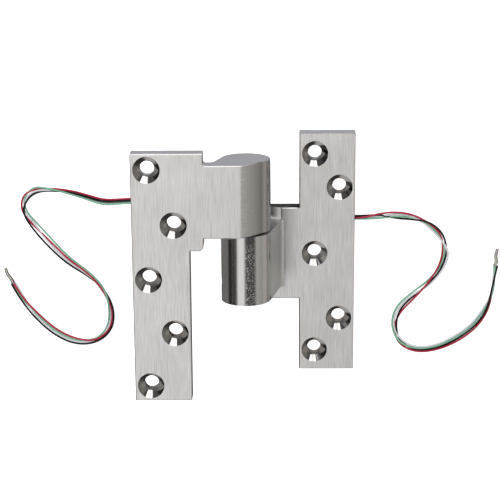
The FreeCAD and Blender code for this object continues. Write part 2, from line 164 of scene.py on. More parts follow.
# How the four wires lie at each point of a route: their order from right to left of the way along it,
# the spacing between neighbours in wire diameters, and the wires that ride on top of the others.
# The wires are r red, k black, w white and g green.
DOOR_LAY = [
    ("rkwg", 0.5, "kg"), ("rkwg", 0.65, "kg"), ("rkwg", 0.75, "kg"), ("rkwg", 0.6, "kg"), ("rkwg", 0.5, "kg"),
    ("rwgk", 0.5, "rg"), ("grwk", 0.6, "gw"), ("grwk", 1.0, ""), ("rgwk", 1.0, "k"), ("rkwg", 0.7, "k"),
    ("krwg", 1.1, "k"), ("kwrg", 1.3, ""), ("kwrg", 1.1, ""), ("kwrg", 0.8, "rg"), ("wrkg", 0.6, "rg"),
    ("gwrk", 0.8, "gk"), ("gwrk", 0.9, "k"), ("grwk", 0.5, "rk"), ("rgwk", 1.0, ""), ("rgwk", 1.0, ""),
    ("rgwk", 0.9, ""), ("wrgk", 0.8, "r"), ("wrgk", 0.6, "rk"),
]
JAMB_LAY = [
    ("grwk", 0.5, "rk"), ("grwk", 0.6, "rk"), ("gwkr", 0.9, "r"), ("kgwr", 1.2, "r"), ("kgwr", 0.9, "r"),
    ("wgrk", 0.8, "k"), ("wgrk", 1.0, "w"), ("rgkw", 1.1, "w"), ("rgkw", 1.0, "r"), ("grkw", 0.8, "r"),
    ("gwkr", 1.0, "r"), ("gwkr", 1.2, ""), ("gwrk", 0.8, "k"), ("rgkw", 0.8, "gw"), ("rkgw", 0.9, ""),
    ("rkgw", 0.9, ""), ("rkgw", 1.1, ""), ("rkgw", 1.1, ""), ("rkgw", 0.9, "k"), ("gwrk", 0.6, "kw"),
    ("krgw", 0.6, "kg"),
]
WIRE_R = 0.525 * MM
ON_FLOOR = 1.4 * MM

# The same wires inside the part, from the pin to each leaf's edge, on the part's own route
DOOR_INNER = [
    (0, 0.03425, 0.03175), (0, 0.03665, 0.03175), (0, 0.0400, 0.0365),
    (-0.0168, 0.0400, 0.0365), (-0.0219, 0.0370, 0.043775), (-0.049975, 0.0370, 0.043775),
]
JAMB_INNER = [
    (0.049975, 0.0175, 0.0025), (0.0160, 0.0175, 0.0025), (0.0160, 0.0120, 0.0025),
    (0, 0.0120, 0.0025), (0, 0.0120, 0.03175), (0, 0.03405, 0.03175),
]
INNER_BEND = 4.3 * MM
INNER_STEP = 1.2 * MM
INNER_TWIST = 45 * MM
LONGEST_CUT = 0.45
ARC_POINTS = 9
COLOURS = {"r": "red", "k": "black", "w": "white", "g": "green"}

# The stripped, twisted conductors beyond the insulation
STRAND_R = 0.42 * MM
STRAND_LENGTH = 9.0 * MM
TWIST_R = 0.62 * MM
TWIST_PITCH = 3.6 * MM
TWIST_SWAY = 0.25 * MM
TWIST_TAPER = 0.35
CLOSING_SHARE = 0.2
SWAY_TURNS = 7.5
STRAND_INSIDE = 0.4 * MM
STRAND_STEPS = 60
STRAND_SIDES = 28
LOBES = 7
LOBE_HEIGHT = 0.1
LOBE_WIND = 9


def linear(code):
    """The linear colour of an sRGB hex value."""
    parts = [int(code[i:i + 2], 16) / 255 for i in (1, 3, 5)]
    return tuple(c / 12.92 if c <= 0.04045 else ((c + 0.055) / 1.055) ** 2.4 for c in parts) + (1.0,)


def add(tree, kind, settings=None, links=None):
    """Adds a node. A setting is for the input of that name or number, or else for the node itself."""
    node = tree.nodes.new(kind)
    for key, value in (settings or {}).items():
        if isinstance(key, int) or key in node.inputs:
            node.inputs[key].default_value = value
        else:
            setattr(node, key, value)
    for key, source in (links or {}).items():
        tree.links.new(source, node.inputs[key])
    return node


def new_material(name):
    """An empty material with its shader and output, and its node tree."""
    material = bpy.data.materials.new(name)
    material.use_nodes = True
    tree = material.node_tree
    tree.nodes.clear()
    shader = add(tree, "ShaderNodeBsdfPrincipled")
    add(tree, "ShaderNodeOutputMaterial", links={"Surface": shader.outputs[0]})
    return material, tree, shader


def steel_grain(tree, place, wall):
    """Fine streaks along Y, and instead of them a fine even grain on the walls that are ground across."""
    streaks_map = add(tree, "ShaderNodeMapping", {"Scale": GRAIN_SCALE}, {"Vector": place.outputs["Object"]})
    streaks = add(tree, "ShaderNodeTexNoise", {"Scale": 1.0, "Detail": 3.0, "Roughness": 0.65},
                  {"Vector": streaks_map.outputs[0]})
    fine = add(tree, "ShaderNodeTexNoise", {"Scale": FINE_SCALE, "Detail": 2.0},
               {"Vector": place.outputs["Object"]})
    return add(tree, "ShaderNodeMix", {"data_type": "FLOAT"},
               {0: wall.outputs[0], 2: streaks.outputs[0], 3: fine.outputs[0]})


def steel_tone(tree, place, grain):
    """The steel's own light colour: the grain's streaks in two tones, with soft clouds 20 mm wide under them."""
    cloud = add(tree, "ShaderNodeTexNoise", {"Scale": CLOUD_SCALE, "Detail": 2.0},
                {"Vector": place.outputs["Object"]})
    both = add(tree, "ShaderNodeMath", {"operation": "MULTIPLY_ADD", 1: CLOUD_SHARE},
               {0: cloud.outputs[0], 2: grain.outputs[0]})
    share = add(tree, "ShaderNodeMapRange", {"From Min": TONE_RANGE[0], "From Max": TONE_RANGE[1]},
                {"Value": both.outputs[0]})
    return add(tree, "ShaderNodeMix", {"data_type": "RGBA", 6: linear("#C0BEBC"), 7: linear("#E3E1DF")},
               {0: share.outputs[0]})


def on_barrels(tree, place, normal):
    """1 on the barrels' round faces: no farther from the pivot's axis than their radius, and not on an end."""
    from_axis = add(tree, "ShaderNodeVectorMath", {"operation": "SUBTRACT", 1: (0, 0, AXIS_Z)},
                    {0: place.outputs["Object"]})
    flat = add(tree, "ShaderNodeVectorMath", {"operation": "MULTIPLY", 1: (1, 0, 1)}, {0: from_axis.outputs[0]})
    radius = add(tree, "ShaderNodeVectorMath", {"operation": "LENGTH"}, {0: flat.outputs[0]})
    near_axis = add(tree, "ShaderNodeMapRange",
                    {"From Min": BARREL_R + BARREL_FADE[0], "From Max": BARREL_R + BARREL_FADE[1]},
                    {"Value": radius.outputs["Value"]})
    endways = add(tree, "ShaderNodeMath", {"operation": "ABSOLUTE"}, {0: normal.outputs[1]})
    round_face = add(tree, "ShaderNodeMath", {"operation": "LESS_THAN", 1: END_NY}, {0: endways.outputs[0]})
    return add(tree, "ShaderNodeMath", {"operation": "MULTIPLY"},
               {0: near_axis.outputs[0], 1: round_face.outputs[0]})


def in_sinks(tree, normal, apart):
    """1 on the countersinks' cones: faces on the leaves that slope as the cones do."""
    cone = add(tree, "ShaderNodeMath", {"operation": "COMPARE", 1: SINK_NZ[0], 2: SINK_NZ[1]},
               {0: normal.outputs[2]})
    on_leaf = add(tree, "ShaderNodeMath", {"operation": "GREATER_THAN", 1: HOLES_X}, {0: apart.outputs[0]})
    return add(tree, "ShaderNodeMath", {"operation": "MULTIPLY"}, {0: cone.outputs[0], 1: on_leaf.outputs[0]})


def sink_lean(tree, spot, sink, upper_wall):
    """The lean of the cones' shading: straight out of the leaf, more in the upper holes and on upper walls."""
    tilt = add(tree, "ShaderNodeVectorMath", {"operation": "SCALE", 0: (0, 0, 1)}, {"Scale": sink.outputs[0]})
    by_place = add(tree, "ShaderNodeMapRange", {"From Min": SINKS_Y, "From Max": -SINKS_Y,
                                                "To Min": SINK_LEAN, "To Max": SINK_LOW_LEAN},
                   {"Value": spot.outputs[1]})
    amount = add(tree, "ShaderNodeMapRange", {"To Max": SINK_TOP_LEAN},
                 {"Value": upper_wall.outputs[0], "To Min": by_place.outputs[0]})
    lean = add(tree, "ShaderNodeVectorMath", {"operation": "SCALE"},
               {0: tilt.outputs[0], "Scale": amount.outputs[0]})
    return add(tree, "ShaderNodeVectorTransform",
               {"vector_type": "VECTOR", "convert_from": "OBJECT", "convert_to": "WORLD"}, {0: lean.outputs[0]})


def upper_knuckle_shade(tree, spot, wall, barrel):
    """The upper knuckle's wall and barrel, painted darker as painted shade: more and more from left to right, less
    past the turn.
    """
    bent = add(tree, "ShaderNodeMath", {"operation": "MAXIMUM"}, {0: wall.outputs[0], 1: barrel.outputs[0]})
    upper = add(tree, "ShaderNodeMath", {"operation": "GREATER_THAN", 1: DOOR_KNUCKLE_Y}, {0: spot.outputs[1]})
    ground = add(tree, "ShaderNodeMath", {"operation": "MULTIPLY"}, {0: bent.outputs[0], 1: upper.outputs[0]})
    rising = add(tree, "ShaderNodeMapRange", {"From Min": SHADE_FROM_X[0], "From Max": SHADE_FROM_X[1]},
                 {"Value": spot.outputs[0]})
    falling = add(tree, "ShaderNodeMapRange", {"From Min": SHADE_UNTIL_X[0], "From Max": SHADE_UNTIL_X[1],
                                               "To Min": SHADE_LEAST}, {"Value": spot.outputs[0]})
    across = add(tree, "ShaderNodeMath", {"operation": "MULTIPLY"}, {0: rising.outputs[0], 1: falling.outputs[0]})
    return add(tree, "ShaderNodeMath", {"operation": "MULTIPLY"}, {0: ground.outputs[0], 1: across.outputs[0]})


def inner_edge_shade(tree, normal, apart):
    """1 on the leaves' two inner edges, which face each other across the knuckles and are painted nearly black as
    painted shade.
    """
    sideways = add(tree, "ShaderNodeMath", {"operation": "ABSOLUTE"}, {0: normal.outputs[0]})
    edge = add(tree, "ShaderNodeMath", {"operation": "GREATER_THAN", 1: FACE_ON}, {0: sideways.outputs[0]})
    inside = add(tree, "ShaderNodeMath", {"operation": "COMPARE", 1: INNER_X, 2: INNER_HALF},
                 {0: apart.outputs[0]})
    return add(tree, "ShaderNodeMath", {"operation": "MULTIPLY"}, {0: edge.outputs[0], 1: inside.outputs[0]})


def bevel_shade(tree, normal, spot):
    """1 on the bevel that breaks the jamb leaf's upper edge, which is painted darker as painted shade over its
    highlight.
    """
    bevel = add(tree, "ShaderNodeMath", {"operation": "COMPARE", 1: BROKEN_NY[0], 2: BROKEN_NY[1]},
                {0: normal.outputs[1]})
    jamb_side = add(tree, "ShaderNodeMath", {"operation": "GREATER_THAN", 1: HOLES_X}, {0: spot.outputs[0]})
    return add(tree, "ShaderNodeMath", {"operation": "MULTIPLY"}, {0: bevel.outputs[0], 1: jamb_side.outputs[0]})


def pitted_strip(tree, place, spot):
    """Pits in the strip of the lower knuckle's front: where a fine noise is high."""
    noise = add(tree, "ShaderNodeTexNoise", {"Scale": PIT_SCALE, "Detail": 1.0},
                {"Vector": place.outputs["Object"]})
    pits = add(tree, "ShaderNodeMapRange", {"From Min": PIT_RANGE[0], "From Max": PIT_RANGE[1]},
               {"Value": noise.outputs[0]})
    strip = add(tree, "ShaderNodeMath", {"operation": "COMPARE", 1: PITTED_X, 2: PITTED_HALF},
                {0: spot.outputs[0]})
    lower = add(tree, "ShaderNodeMath", {"operation": "LESS_THAN", 1: PITTED_TOP_Y}, {0: spot.outputs[1]})
    patch = add(tree, "ShaderNodeMath", {"operation": "MULTIPLY"}, {0: strip.outputs[0], 1: lower.outputs[0]})
    return add(tree, "ShaderNodeMath", {"operation": "MULTIPLY"}, {0: patch.outputs[0], 1: pits.outputs[0]})


def relief_glints(tree, normal, spot, jamb_level):
    """Where a highlight is painted in the relief behind the upper knuckle: the fillet along its foot, and its
    curved wall's right end.
    """
    curved = add(tree, "ShaderNodeMath", {"operation": "COMPARE", 1: RELIEF_NX[0], 2: RELIEF_NX[1]},
                 {0: normal.outputs[0]})
    outward = add(tree, "ShaderNodeMapRange", {"From Min": RELIEF_END_X[0], "From Max": RELIEF_END_X[1]},
                  {"Value": spot.outputs[0]})
    rim = add(tree, "ShaderNodeMapRange", {"From Min": RELIEF_RIM_X[0], "From Max": RELIEF_RIM_X[1]},
              {"Value": spot.outputs[0]})
    fading = add(tree, "ShaderNodeMath", {"operation": "MULTIPLY"}, {0: rim.outputs[0], 1: outward.outputs[0]})
    end = add(tree, "ShaderNodeMath", {"operation": "MULTIPLY"}, {0: curved.outputs[0], 1: fading.outputs[0]})
    fillet = add(tree, "ShaderNodeMath", {"operation": "COMPARE", 1: FILLET_NY[0], 2: FILLET_NY[1]},
                 {0: normal.outputs[1]})
    glint_faces = add(tree, "ShaderNodeMath", {"operation": "MAXIMUM"}, {0: end.outputs[0], 1: fillet.outputs[0]})
    by_x = add(tree, "ShaderNodeMath", {"operation": "COMPARE", 1: RELIEF_X, 2: RELIEF_HALF},
               {0: spot.outputs[0]})
    over = add(tree, "ShaderNodeMath", {"operation": "GREATER_THAN", 1: RELIEF_Y}, {0: spot.outputs[1]})
    there = add(tree, "ShaderNodeMath", {"operation": "MULTIPLY"}, {0: by_x.outputs[0], 1: over.outputs[0]})
    here = add(tree, "ShaderNodeMath", {"operation": "MULTIPLY"}, {0: there.outputs[0], 1: jamb_level.outputs[0]})
    return add(tree, "ShaderNodeMath", {"operation": "MULTIPLY"}, {0: glint_faces.outputs[0], 1: here.outputs[0]})


def corner_shade(tree, normal, spot, apart, jamb_level):
    """The jamb leaf's face close to its knuckle, painted darker as painted shade; it fades out downwards."""
    beside = add(tree, "ShaderNodeMapRange", {"From Min": CORNER_X[0], "From Max": CORNER_X[1]},
                 {"Value": apart.outputs[0]})
    on_jamb = add(tree, "ShaderNodeMath", {"operation": "MULTIPLY"},
                  {0: beside.outputs[0], 1: jamb_level.outputs[0]})
    rising = add(tree, "ShaderNodeMapRange", {"From Min": CORNER_Y[0], "From Max": CORNER_Y[1]},
                 {"Value": spot.outputs[1]})
    beside_knuckle = add(tree, "ShaderNodeMath", {"operation": "MULTIPLY"},
                    {0: on_jamb.outputs[0], 1: rising.outputs[0]})
    face = add(tree, "ShaderNodeMath", {"operation": "GREATER_THAN", 1: FACE_ON}, {0: normal.outputs[2]})
    return add(tree, "ShaderNodeMath", {"operation": "MULTIPLY"}, {0: beside_knuckle.outputs[0], 1: face.outputs[0]})


def brushed_stainless(name):
    """Stainless steel brushed along the leaf: light, faintly warm, with fine streaks along Y.

    The real grain is about 0.1 mm wide; it is drawn 0.4 mm wide so that it shows. The knuckles and countersinks
    are turned and smoother, so they mirror the studio in bands, and the cones' shading leans so that each hole
    catches the lamp above. The cones are painted darker, and darker still on their upper walls: painted shade.
    The walls beside the barrels are ground across, with a fine even grain; the upper knuckle's wall and barrel
    are painted darker from left to right as painted shade. The inner edges are painted nearly black as painted
    shade, where they face each other. The jamb leaf's broken edge is painted dull as painted shade over its
    highlight, and its face beside the knuckle is painted darker as painted shade. The relief's fillet and the
    right end of its curved wall are painted pale: a painted highlight. A strip of the lower knuckle's front is
    left pitted and catches light in specks.
    """
    material, tree, shader = new_material(name)
    place = add(tree, "ShaderNodeTexCoord")
    normal = add(tree, "ShaderNodeSeparateXYZ", links={0: place.outputs["Normal"]})
    spot = add(tree, "ShaderNodeSeparateXYZ", links={0: place.outputs["Object"]})
    apart = add(tree, "ShaderNodeMath", {"operation": "ABSOLUTE"}, {0: spot.outputs[0]})
    jamb_level = add(tree, "ShaderNodeMath", {"operation": "LESS_THAN", 1: JAMB_TOP_Z}, {0: spot.outputs[2]})
    wall = add(tree, "ShaderNodeMath", {"operation": "COMPARE", 1: WALL_NX[0], 2: WALL_NX[1]},
               {0: normal.outputs[0]})
    grain = steel_grain(tree, place, wall)
    barrel = on_barrels(tree, place, normal)
    sink = in_sinks(tree, normal, apart)
    upper_wall = add(tree, "ShaderNodeMapRange", {"From Min": SINK_TOP_NY[0], "From Max": SINK_TOP_NY[1]},
                     {"Value": normal.outputs[1]})
    pitted = pitted_strip(tree, place, spot)
    relief = relief_glints(tree, normal, spot, jamb_level)

    even = add(tree, "ShaderNodeMath", {"operation": "MULTIPLY", 1: BARREL_EVENNESS}, {0: barrel.outputs[0]})
    # The countersinks' upper walls, for a darker tint still than the cones': painted shade
    sink_top_shade = add(tree, "ShaderNodeMath", {"operation": "MULTIPLY"}, {0: sink.outputs[0], 1: upper_wall.outputs[0]})
    colour = steel_tone(tree, place, grain)
    # Tints laid over the steel's tone in turn. The barrels' evenness and the pits are the steel's own; the tints of
    # the cones, their upper walls, the upper knuckle, the inner edges, the jamb leaf's bevel and its corner are
    # painted shade, and the relief's near white is a painted highlight.
    for part, tint in ((even, "#CDCBC9"), (upper_knuckle_shade(tree, spot, wall, barrel), "#9A9794"),
                       (sink, "#9A9794"), (sink_top_shade, "#6A6764"), (inner_edge_shade(tree, normal, apart), "#4C4946"),
                       (bevel_shade(tree, normal, spot), "#8E8A8C"),
                       (corner_shade(tree, normal, spot, apart, jamb_level), "#A3A09C"),
                       (relief, "#F6F5F0"), (pitted, "#A19E9B")):
        colour = add(tree, "ShaderNodeMix", {"data_type": "RGBA", 7: linear(tint)},
                     {0: part.outputs[0], 6: colour.outputs[2]})

    turned = add(tree, "ShaderNodeMath", {"operation": "MAXIMUM"}, {0: barrel.outputs[0], 1: sink.outputs[0]})
    rough = add(tree, "ShaderNodeMapRange", {"To Min": BRUSHED_ROUGH[0], "To Max": BRUSHED_ROUGH[1]},
                {"Value": grain.outputs[0]})
    smooth = add(tree, "ShaderNodeMapRange", {"To Min": TURNED_ROUGH, "To Max": PITTED_ROUGH},
                 {"Value": pitted.outputs[0]})
    polish = add(tree, "ShaderNodeMix", {"data_type": "FLOAT", 3: SINK_ROUGH},
                 {0: sink.outputs[0], 2: smooth.outputs[0]})
    finish = add(tree, "ShaderNodeMix", {"data_type": "FLOAT"},
                 {0: turned.outputs[0], 2: rough.outputs[0], 3: polish.outputs[0]})
    specks = add(tree, "ShaderNodeMath", {"operation": "MULTIPLY", 1: PIT_SCATTER}, {0: pitted.outputs[0]})
    # Less metallic on the pits and on the relief's painted highlight
    pale = add(tree, "ShaderNodeMath", {"operation": "MAXIMUM"}, {0: specks.outputs[0], 1: relief.outputs[0]})
    metallic = add(tree, "ShaderNodeMath", {"operation": "SUBTRACT", 0: 1.0}, {1: pale.outputs[0]})
    bump = add(tree, "ShaderNodeBump", {"Strength": 0.35, "Distance": 0.03 * MM}, {"Height": grain.outputs[0]})
    leaned = add(tree, "ShaderNodeVectorMath", {"operation": "ADD"},
                 {0: bump.outputs[0], 1: sink_lean(tree, spot, sink, upper_wall).outputs[0]})
    facing = add(tree, "ShaderNodeVectorMath", {"operation": "NORMALIZE"}, {0: leaned.outputs[0]})
    tree.links.new(metallic.outputs[0], shader.inputs["Metallic"])
    tree.links.new(colour.outputs[2], shader.inputs["Base Color"])
    tree.links.new(finish.outputs[0], shader.inputs["Roughness"])
    tree.links.new(facing.outputs[0], shader.inputs["Normal"])
    return material


def metal(name, dark, light, roughness, grit):
    """A plain metal: two tones mixed by fine grit of that size in metres, with the same grit as bump, so that
    its shine is softly broken."""
    material, tree, shader = new_material(name)
    place = add(tree, "ShaderNodeTexCoord")
    noise = add(tree, "ShaderNodeTexNoise", {"Scale": 1 / grit, "Detail": 3.0}, {"Vector": place.outputs["Object"]})
    colour = add(tree, "ShaderNodeMix", {"data_type": "RGBA", 6: linear(dark), 7: linear(light)},
                 {0: noise.outputs[0]})
    rough = add(tree, "ShaderNodeMapRange",
                {"To Min": roughness + GRIT_ROUGH[0], "To Max": roughness + GRIT_ROUGH[1]},
                {"Value": noise.outputs[0]})
    bump = add(tree, "ShaderNodeBump", {"Strength": 0.15, "Distance": grit * GRIT_DEPTH},
               {"Height": noise.outputs[0]})
    shader.inputs["Metallic"].default_value = 1.0
    tree.links.new(colour.outputs[2], shader.inputs["Base Color"])
    tree.links.new(rough.outputs[0], shader.inputs["Roughness"])
    tree.links.new(bump.outputs[0], shader.inputs["Normal"])
    return material


def extruded_vinyl(name, dark, light, roughness, gloss=0.5):
    """Extruded vinyl insulation or moulded rubber: even colour, soft gloss and a faint orange-peel skin."""
    material, tree, shader = new_material(name)
    place = add(tree, "ShaderNodeTexCoord")
    noise = add(tree, "ShaderNodeTexNoise", {"Scale": 600.0, "Detail": 2.0}, {"Vector": place.outputs["Object"]})
    colour = add(tree, "ShaderNodeMix", {"data_type": "RGBA", 6: linear(dark), 7: linear(light)},
                 {0: noise.outputs[0]})
    bump = add(tree, "ShaderNodeBump", {"Strength": 0.1, "Distance": 0.02 * MM}, {"Height": noise.outputs[0]})
    shader.inputs["Roughness"].default_value = roughness
    shader.inputs["IOR"].default_value = 1.53
    shader.inputs["Specular IOR Level"].default_value = gloss
    tree.links.new(colour.outputs[2], shader.inputs["Base Color"])
    tree.links.new(bump.outputs[0], shader.inputs["Normal"])
    return material


def surface(name, grids, material):
    """A mesh from closed rings of points: each grid is rings x sides x 3, with its two ends capped."""
    points, faces, base = [], [], 0
    for grid in grids:
        rings, sides = grid.shape[:2]
        index = base + np.arange(rings * sides).reshape(rings, sides)
        here, beside = index, np.roll(index, -1, axis=1)
        quads = np.stack([here[:-1], beside[:-1], beside[1:], here[1:]], axis=-1).reshape(-1, 4)
        faces += quads.tolist() + [index[0, ::-1].tolist(), index[-1].tolist()]
        points.append(grid.reshape(-1, 3))
        base += rings * sides
    mesh = bpy.data.meshes.new(name)
    mesh.from_pydata(np.concatenate(points).tolist(), [], faces)
    mesh.validate()
    mesh.shade_smooth()
    mesh.materials.append(material)
    piece = bpy.data.objects.new(name, mesh)
    bpy.context.scene.collection.objects.link(piece)
    return piece


def wire_points(route, lay, wire):
    """One wire's own points: each route point moved aside by the wire's place in the order, and up a layer
    where it rides on top. The lower layer lies on the floor where the route does."""
    line = np.array(route)
    ahead = np.gradient(line, axis=0)
    ahead /= np.linalg.norm(ahead, axis=1)[:, None]
    left = np.stack([-ahead[:, 1], ahead[:, 0], np.zeros(len(line))], axis=1)
    left /= np.linalg.norm(left, axis=1)[:, None]
    up = np.cross(ahead, left)
    aside = np.array([(order.index(wire) - 1.5) * spacing for order, spacing, _ in lay])
    layer = np.array([wire in riding for _, _, riding in lay]) - 0.5
    settle = np.where(line[:, 2] < ON_FLOOR, line[:, 2] - 2 * WIRE_R, 0.0)
    offset = left * aside[:, None] + up * layer[:, None]
    return line + offset * 2 * WIRE_R - np.array([0, 0, 1]) * settle[:, None]


def make_wire(name, points, material):
    """One insulated wire on a smooth curve through its points' run."""
    curve = bpy.data.curves.new(name, "CURVE")
    curve.dimensions = "3D"
    spline = curve.splines.new("NURBS")
    spline.points.add(len(points) - 1)
    spline.points.foreach_set("co", np.c_[points, np.ones(len(points))].ravel())
    spline.order_u = 3
    spline.use_endpoint_u = True
    spline.resolution_u = 8
    curve.bevel_depth = WIRE_R
    curve.bevel_resolution = 3
    curve.use_fill_caps = True
    curve.materials.append(material)
    piece = bpy.data.objects.new(name, curve)
    bpy.context.scene.collection.objects.link(piece)
    return piece


def rounded(route):
    """Points at even steps on the route, with an arc of at most the bend radius at each corner. An arc is the
    rational curve ((1-t)^2 a + 2w t(1-t) b + t^2 c) / ((1-t)^2 + 2w t(1-t) + t^2), w the cosine of half its
    turn."""
    corners = np.array(route)
    runs = np.diff(corners, axis=0)
    lengths = np.linalg.norm(runs, axis=1)
    ways = runs / lengths[:, None]
    t = np.linspace(0, 1, ARC_POINTS)[:, None]
    line = [corners[:1]]
    for i, corner in enumerate(corners[1:-1]):
        half = math.acos(float(ways[i] @ ways[i + 1])) / 2
        cut = min(LONGEST_CUT * min(lengths[i:i + 2]), INNER_BEND * math.tan(half))
        first, last = corner - cut * ways[i], corner + cut * ways[i + 1]
        weight = 2 * math.cos(half) * t * (1 - t)
        bend = (1 - t) ** 2 * first + weight * corner + t ** 2 * last
        line.append(bend / ((1 - t) ** 2 + weight + t ** 2))
    line = np.concatenate(line + [corners[-1:]])
    along = np.r_[0, np.cumsum(np.linalg.norm(np.diff(line, axis=0), axis=1))]
    even = np.linspace(0, along[-1], round(along[-1] / INNER_STEP) + 1)
    return np.stack([np.interp(even, along, line[:, axis]) for axis in range(3)], axis=1)


def bundled(route, number):
    """One of four wires that lie two by two and wind slowly round a route: a frame carried along it without
    turning, and the wire at angle 90 degrees x number plus the twist so far."""
    line = rounded(route)
    ahead = np.gradient(line, axis=0)
    ahead /= np.linalg.norm(ahead, axis=1)[:, None]
    side = np.cross(ahead[0], (1.0, 1.0, 1.0))
    points = []
    for step, (centre, way) in enumerate(zip(line, ahead)):
        side = side - way * (side @ way)
        side /= np.linalg.norm(side)
        angle = math.pi / 2 * number + 2 * math.pi * step * INNER_STEP / INNER_TWIST
        outward = math.cos(angle) * side + math.sin(angle) * np.cross(way, side)
        points.append(centre + math.sqrt(2) * WIRE_R * outward)
    return np.array(points)


def make_inner(body, route, skins):
    """The four wires inside a leaf."""
    for number, (wire, colour) in enumerate(COLOURS.items()):
        piece = make_wire(f"{body}_inner_{colour}_wire", bundled(route, number), skins[wire])
        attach(piece, body)
        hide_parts(f"{body}_inner_wires")


def make_strand(name, end, axis_start, axis, turn, material):
    """One bare conductor: it leaves its wire's end, closes in on the lead's axis within a fifth of its length
    and winds round it as a helix, while the axis sways a little from side to side. Its section has seven lobes
    that turn with it, for its fine strands."""
    t = np.linspace(0, 1, STRAND_STEPS)
    axis = np.array(axis)
    aside = np.cross(axis, (0, 0, 1.0))
    aside /= np.linalg.norm(aside)
    above = np.cross(aside, axis)
    angle = turn + 2 * np.pi * STRAND_LENGTH / TWIST_PITCH * t
    near = np.clip(t / CLOSING_SHARE, 0, 1)
    closing = near ** 2 * (3 - 2 * near)
    taper = TWIST_R * (1 - TWIST_TAPER * t)
    helix = np.outer(np.cos(angle) * taper, aside) + np.outer(np.sin(angle) * taper, above)
    start = np.array(end) - np.array(axis_start)
    sway = TWIST_SWAY * np.sin(SWAY_TURNS * t)
    run = np.array(axis_start) + np.outer(t * STRAND_LENGTH, axis) + np.outer(sway, aside)
    path = run + helix * closing[:, None] + start * (1 - closing)[:, None]
    ahead = np.gradient(path, axis=0)
    ahead /= np.linalg.norm(ahead, axis=1)[:, None]
    across = np.cross(ahead, above)
    across /= np.linalg.norm(across, axis=1)[:, None]
    over = np.cross(across, ahead)
    round_it = np.linspace(0, 2 * np.pi, STRAND_SIDES, endpoint=False)
    lobes = STRAND_R * (1 + LOBE_HEIGHT * np.cos(LOBES * (round_it[None, :] + LOBE_WIND * t[:, None])))
    ring = across[:, None] * np.cos(round_it)[None, :, None] + over[:, None] * np.sin(round_it)[None, :, None]
    return surface(name, [path[:, None] + ring * lobes[:, :, None]], material)


def make_lead(body, route, lay, skins, tinned):
    """The four wires of a lead and their bare ends."""
    end, before = np.array(route[-1]), np.array(route[-2])
    axis = (end - before) / np.linalg.norm(end - before)
    for turn, (wire, colour) in enumerate(COLOURS.items()):
        points = wire_points(route, lay, wire)
        piece = make_wire(f"{body}_{colour}_wire", points, skins[wire])
        strand = make_strand(f"{body}_{colour}_strand", points[-1] - STRAND_INSIDE * axis, end, axis,
                             turn * math.pi / 2, tinned)
        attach(piece, body)
        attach(strand, body)
        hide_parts(f"{body}_lead")
        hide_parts(f"{body}_lead_tips")


def paint(node, material):
    """Gives a CAD node its finish."""
    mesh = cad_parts[node].data
    mesh.materials.clear()
    mesh.materials.append(material)


def make_camera():
    """The camera of the photograph, from its fitted place and axes."""
    camera = bpy.data.objects.new("camera", bpy.data.cameras.new("camera"))
    turn = Matrix([CAMERA_RIGHT, CAMERA_UP, CAMERA_BACK]).transposed().to_4x4()
    camera.matrix_world = Matrix.Translation(CAMERA_AT) @ turn
    camera.data.lens = LENS_MM
    camera.data.sensor_width = 36
    camera.data.clip_start = 0.05
    camera.data.clip_end = 20
    bpy.context.scene.collection.objects.link(camera)
    bpy.context.scene.camera = camera


# What the metal sees of the studio, by the angle round the pivot's axis in degrees from straight in front,
# towards the jamb side: two softboxes with a dark gap between them, and dark flags at the sides
STUDIO = [
    (-180, 0.12), (-140, 0.24), (-112, 0.2), (-97, 0.05), (-45, 0.05), (-38, 1.0), (-10, 1.0), (-1, 0.05),
    (40, 0.05), (51, 0.52), (74, 0.42), (84, 0.38), (92, 0.6), (112, 0.55), (122, 0.2), (135, 0.24),
    (152, 0.34), (170, 0.12), (180, 0.10),
]
WARM_SIDE = 40
WARMTH = (1.03, 1.0, 0.94)

# Up is along Y here, as in the photograph: a height is the part along Y of the way that a ray goes, and a side
# is that same angle in radians. In front, one box stands above and one below the band in which the values above
# show. The low one is bright on the left and nearly out on the right.
FRONT_SIDE = (1.1, 0.9)
FRONT_MIDDLE = -0.27
FRONT_GAP = (0.16, 0.24)
FRONT_LIGHT = 1.7
LOW_HEIGHT = (-0.3, -0.4)
LOW_SPREAD = (-0.12, 0.12)
LOW_LEFT = 2.3
LOW_RIGHT = 0.2

# A dark header hangs over them, and over that a bright box that is lower on the jamb side
HEADER_HEIGHT = (0.55, 0.65)
HEADER_SIDE = (1.45, 1.25)
HEADER = 0.2
BOX_LEAN = 0.176
BOX_HEIGHT = (0.873, 0.883)
BOX_FAR = (0.935, 0.95)
OVERHEAD = 4.0
OVERHEAD_EDGE = 2.05
ROOM_LIGHT = 0.62


